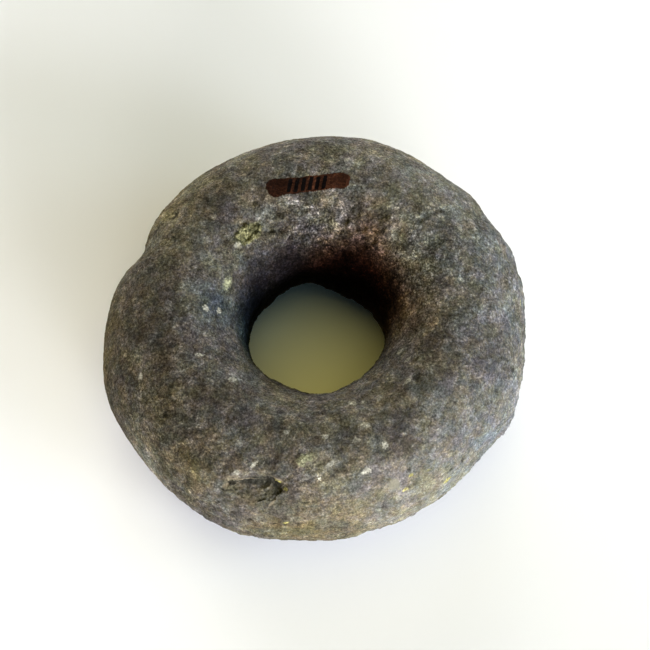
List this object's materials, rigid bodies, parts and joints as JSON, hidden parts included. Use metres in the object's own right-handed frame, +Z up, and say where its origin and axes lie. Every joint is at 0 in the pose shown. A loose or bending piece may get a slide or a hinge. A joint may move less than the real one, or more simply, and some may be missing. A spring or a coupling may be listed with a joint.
{
  "type": "stone spindle whorl",
  "caption": "Thick pecked ring of coarse dark stone with a wide waisted hole, worn flat underneath so that it lies still.",
  "frame": {"origin": "on the surface that the whorl lies on, under the middle of its box", "axes": "+Z up, along the hole; +X to the right and +Y away from the viewer in the picture"},
  "size_m": [0.08, 0.0798, 0.0312],
  "materials": {
    "coarse_stone": "rough, pecked and weathered grey-brown stone with pale grains and olive crust"
  },
  "bodies": {
    "root": {"stone_whorl": "coarse_stone"}
  },
  "joints": []
}
